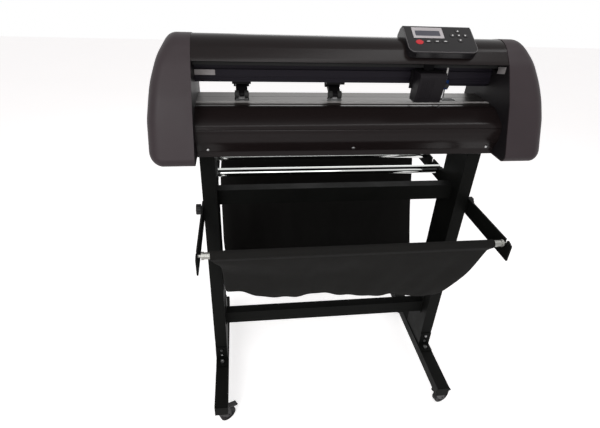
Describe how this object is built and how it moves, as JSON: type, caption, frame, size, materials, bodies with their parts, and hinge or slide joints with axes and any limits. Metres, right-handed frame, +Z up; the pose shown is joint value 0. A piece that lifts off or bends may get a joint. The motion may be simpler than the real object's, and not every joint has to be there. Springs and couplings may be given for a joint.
{
  "type": "vinyl cutter",
  "caption": "Floor-standing roll-fed vinyl cutter: long cutting head with sliding blade carriage, tilted keypad, two-legged stand on casters, media rollers and a hanging cloth basket.",
  "frame": {"origin": "on the floor, midway across the machine and midway front to back of the whole outline", "axes": "+X along the head towards the keypad end, +Y to the rear, +Z up; the operator stands on the -Y side"},
  "size_m": [0.92, 0.564, 1.1054],
  "materials": {
    "cap_plastic": "moulded charcoal plastic, fine grain",
    "cover_paint": "satin black coat on extruded covers",
    "channel_steel": "black coated sheet steel",
    "platen_metal": "satin anodised plate",
    "strip_plastic": "light grey cutting strip",
    "beam_metal": "dark anodised extrusion",
    "belt_rubber": "toothed belt",
    "pulley_metal": "turned",
    "motor_body": "black motor body",
    "shaft_steel": "ground shaft with grit-coated drums",
    "bracket_paint": "dark grey coated",
    "roller_rubber": "pinch roller tyres on a steel axle",
    "carriage_plastic": "dark grey ribbed plastic",
    "holder_blue": "blue anodised",
    "blade_steel": "steel blade holder",
    "knob_plastic": "black moulded knob",
    "keypad_plastic": "gloss black console",
    "display": "display window",
    "red_plastic": "red key cap",
    "key_plastic": "black key cap",
    "board_green": "circuit board",
    "inlet_plastic": "black moulded inlet",
    "stand_paint": "black powder coat",
    "bolt_steel": "zinc plated heads",
    "roller_chrome": "bright chromed tube",
    "rod_steel": "bright tube ends",
    "cloth": "black woven cloth",
    "fork_steel": "pressed and plated fork",
    "wheel_rubber": "caster wheel"
  },
  "bodies": {
    "machine": {"left_end_cap": "cap_plastic", "right_end_cap": "cap_plastic", "top_cover": "cover_paint", "front_cover": "cover_paint", "rear_cover": "cover_paint", "base_channel": "channel_steel", "platen": "platen_metal", "cutting_strip": "strip_plastic", "side_plates": "channel_steel", "guide_beam": "beam_metal", "drive_belt": "belt_rubber", "stepper_motors": "motor_body", "keypad_case": "keypad_plastic", "lcd_window": "display", "mainboard": "board_green", "power_inlet": "inlet_plastic", "uprights": "stand_paint", "stand_feet": "stand_paint", "upper_crossbar": "stand_paint", "lower_crossbar": "stand_paint", "fixing_screws": "bolt_steel", "basket_rear_rod": "rod_steel", "basket_cloth": "cloth"},
    "carriage": {"carriage_plate": "bracket_paint", "carriage_cover": "carriage_plastic"},
    "tool_carrier": {"tool_holder": "holder_blue", "blade_holder": "blade_steel"},
    "tool_knob": {"clamp_knob": "knob_plastic"},
    "drive_pulley": {"drive_pulley": "pulley_metal"},
    "idler_pulley": {"idler_pulley": "pulley_metal"},
    "grit_shaft": {"grit_shaft": "shaft_steel"},
    "basket_frame": {"basket_arms": "stand_paint", "basket_front_rod": "rod_steel"},
    "front_media_roller": {"front_media_roller": "roller_chrome"},
    "rear_media_roller": {"rear_media_roller": "roller_chrome"},
    "left_arm_knob": {"left_arm_knob": "knob_plastic"},
    "right_arm_knob": {"right_arm_knob": "knob_plastic"},
    "left_pinch_bracket": {"left_pinch_bracket": "bracket_paint"},
    "left_pinch_arm": {"left_pinch_arm": "bracket_paint"},
    "left_pinch_roller": {"left_pinch_roller": "roller_rubber"},
    "right_pinch_bracket": {"right_pinch_bracket": "bracket_paint"},
    "right_pinch_arm": {"right_pinch_arm": "bracket_paint"},
    "right_pinch_roller": {"right_pinch_roller": "roller_rubber"},
    "red_button": {"red_button": "red_plastic"},
    "function_key_1": {"function_key_1": "key_plastic"},
    "function_key_2": {"function_key_2": "key_plastic"},
    "function_key_3": {"function_key_3": "key_plastic"},
    "arrow_up": {"arrow_up": "key_plastic"},
    "arrow_left": {"arrow_left": "key_plastic"},
    "enter_key": {"enter_key": "key_plastic"},
    "arrow_right": {"arrow_right": "key_plastic"},
    "arrow_down": {"arrow_down": "key_plastic"},
    "left_front_caster": {"left_front_caster_fork": "fork_steel"},
    "left_front_wheel": {"left_front_caster_wheel": "wheel_rubber"},
    "right_front_caster": {"right_front_caster_fork": "fork_steel"},
    "right_front_wheel": {"right_front_caster_wheel": "wheel_rubber"},
    "left_rear_caster": {"left_rear_caster_fork": "fork_steel"},
    "left_rear_wheel": {"left_rear_caster_wheel": "wheel_rubber"},
    "right_rear_caster": {"right_rear_caster_fork": "fork_steel"},
    "right_rear_wheel": {"right_rear_caster_wheel": "wheel_rubber"}
  },
  "joints": [
    {"name": "carriage_slide", "type": "slide", "parent": "machine", "child": "carriage", "axis": [1, 0, 0], "range_m": [-0.48, 0.11]},
    {"name": "tool_lift", "type": "slide", "parent": "carriage", "child": "tool_carrier", "axis": [0, 0, 1], "range_m": [-0.0025, 0], "stiffness_N_per_m": 300, "springref_m": 0.004},
    {"name": "clamp_knob_turn", "type": "hinge", "parent": "tool_carrier", "child": "tool_knob", "pos_m": [0.231, -0.03, 0.981], "axis": [0, -1, 0], "range_deg": [0, 180]},
    {"name": "drive_pulley_spin", "type": "hinge", "parent": "machine", "child": "drive_pulley", "pos_m": [0.388, -0.019, 1.021], "axis": [0, 0, 1], "continuous": true},
    {"name": "idler_pulley_spin", "type": "hinge", "parent": "machine", "child": "idler_pulley", "pos_m": [-0.388, -0.019, 1.021], "axis": [0, 0, 1], "continuous": true},
    {"name": "grit_shaft_spin", "type": "hinge", "parent": "machine", "child": "grit_shaft", "pos_m": [0, -0.005, 0.9255], "axis": [1, 0, 0], "continuous": true},
    {"name": "left_pinch_slide", "type": "slide", "parent": "machine", "child": "left_pinch_bracket", "axis": [1, 0, 0], "range_m": [-0.075, 0.1]},
    {"name": "left_pinch_lift", "type": "hinge", "parent": "left_pinch_bracket", "child": "left_pinch_arm", "pos_m": [-0.255, 0.034, 0.962], "axis": [1, 0, 0], "range_deg": [-8, 0]},
    {"name": "left_pinch_spin", "type": "hinge", "parent": "left_pinch_arm", "child": "left_pinch_roller", "pos_m": [-0.255, -0.005, 0.9459], "axis": [1, 0, 0], "continuous": true},
    {"name": "right_pinch_slide", "type": "slide", "parent": "machine", "child": "right_pinch_bracket", "axis": [1, 0, 0], "range_m": [-0.075, 0.24]},
    {"name": "right_pinch_lift", "type": "hinge", "parent": "right_pinch_bracket", "child": "right_pinch_arm", "pos_m": [-0.03, 0.034, 0.962], "axis": [1, 0, 0], "range_deg": [-8, 0]},
    {"name": "right_pinch_spin", "type": "hinge", "parent": "right_pinch_arm", "child": "right_pinch_roller", "pos_m": [-0.03, -0.005, 0.9459], "axis": [1, 0, 0], "continuous": true},
    {"name": "red_button_press", "type": "slide", "parent": "machine", "child": "red_button", "axis": [0, 0.506, -0.8625], "range_m": [0, 0.001], "stiffness_N_per_m": 400, "springref_m": -0.0002},
    {"name": "function_key_1_press", "type": "slide", "parent": "machine", "child": "function_key_1", "axis": [0, 0.506, -0.8625], "range_m": [0, 0.001], "stiffness_N_per_m": 400, "springref_m": -0.0002},
    {"name": "function_key_2_press", "type": "slide", "parent": "machine", "child": "function_key_2", "axis": [0, 0.506, -0.8625], "range_m": [0, 0.001], "stiffness_N_per_m": 400, "springref_m": -0.0002},
    {"name": "function_key_3_press", "type": "slide", "parent": "machine", "child": "function_key_3", "axis": [0, 0.506, -0.8625], "range_m": [0, 0.001], "stiffness_N_per_m": 400, "springref_m": -0.0002},
    {"name": "arrow_up_press", "type": "slide", "parent": "machine", "child": "arrow_up", "axis": [0, 0.506, -0.8625], "range_m": [0, 0.001], "stiffness_N_per_m": 400, "springref_m": -0.0002},
    {"name": "arrow_left_press", "type": "slide", "parent": "machine", "child": "arrow_left", "axis": [0, 0.506, -0.8625], "range_m": [0, 0.001], "stiffness_N_per_m": 400, "springref_m": -0.0002},
    {"name": "enter_key_press", "type": "slide", "parent": "machine", "child": "enter_key", "axis": [0, 0.506, -0.8625], "range_m": [0, 0.001], "stiffness_N_per_m": 400, "springref_m": -0.0002},
    {"name": "arrow_right_press", "type": "slide", "parent": "machine", "child": "arrow_right", "axis": [0, 0.506, -0.8625], "range_m": [0, 0.001], "stiffness_N_per_m": 400, "springref_m": -0.0002},
    {"name": "arrow_down_press", "type": "slide", "parent": "machine", "child": "arrow_down", "axis": [0, 0.506, -0.8625], "range_m": [0, 0.001], "stiffness_N_per_m": 400, "springref_m": -0.0002},
    {"name": "left_front_caster_swivel", "type": "hinge", "parent": "machine", "child": "left_front_caster", "pos_m": [-0.3415, -0.216, 0.065], "axis": [0, 0, 1], "continuous": true},
    {"name": "left_front_wheel_roll", "type": "hinge", "parent": "left_front_caster", "child": "left_front_wheel", "pos_m": [-0.32724, -0.20674, 0.025], "axis": [-0.5446, 0.8387, 0], "continuous": true},
    {"name": "right_front_caster_swivel", "type": "hinge", "parent": "machine", "child": "right_front_caster", "pos_m": [0.3415, -0.216, 0.065], "axis": [0, 0, 1], "continuous": true},
    {"name": "right_front_wheel_roll", "type": "hinge", "parent": "right_front_caster", "child": "right_front_wheel", "pos_m": [0.35784, -0.21131, 0.025], "axis": [-0.2756, 0.9613, 0], "continuous": true},
    {"name": "left_rear_caster_swivel", "type": "hinge", "parent": "machine", "child": "left_rear_caster", "pos_m": [-0.3415, 0.206, 0.065], "axis": [0, 0, 1], "continuous": true},
    {"name": "left_rear_wheel_roll", "type": "hinge", "parent": "left_rear_caster", "child": "left_rear_wheel", "pos_m": [-0.33513, 0.22176, 0.025], "axis": [-0.9272, 0.3746, 0], "continuous": true},
    {"name": "right_rear_caster_swivel", "type": "hinge", "parent": "machine", "child": "right_rear_caster", "pos_m": [0.3415, 0.206, 0.065], "axis": [0, 0, 1], "continuous": true},
    {"name": "right_rear_wheel_roll", "type": "hinge", "parent": "right_rear_caster", "child": "right_rear_wheel", "pos_m": [0.35452, 0.19507, 0.025], "axis": [0.6428, 0.766, 0], "continuous": true},
    {"name": "front_media_roller_spin", "type": "hinge", "parent": "machine", "child": "front_media_roller", "pos_m": [0, 0.08, 0.699], "axis": [1, 0, 0], "continuous": true},
    {"name": "rear_media_roller_spin", "type": "hinge", "parent": "machine", "child": "rear_media_roller", "pos_m": [0, 0.19, 0.699], "axis": [1, 0, 0], "continuous": true},
    {"name": "basket_tilt", "type": "hinge", "parent": "machine", "child": "basket_frame", "pos_m": [0, -0.048, 0.657], "axis": [1, 0, 0], "range_deg": [-15, 15], "deforming": ["basket_cloth"]},
    {"name": "left_arm_knob_turn", "type": "hinge", "parent": "machine", "child": "left_arm_knob", "pos_m": [-0.361, -0.048, 0.657], "axis": [-1, 0, 0], "range_deg": [0, 180]},
    {"name": "right_arm_knob_turn", "type": "hinge", "parent": "machine", "child": "right_arm_knob", "pos_m": [0.361, -0.048, 0.657], "axis": [1, 0, 0], "range_deg": [0, 180]}
  ],
  "couplings": [
    {"joint": "drive_pulley_spin", "follows": "carriage_slide", "rad_per_m": 145.99},
    {"joint": "idler_pulley_spin", "follows": "carriage_slide", "rad_per_m": 145.99}
  ]
}
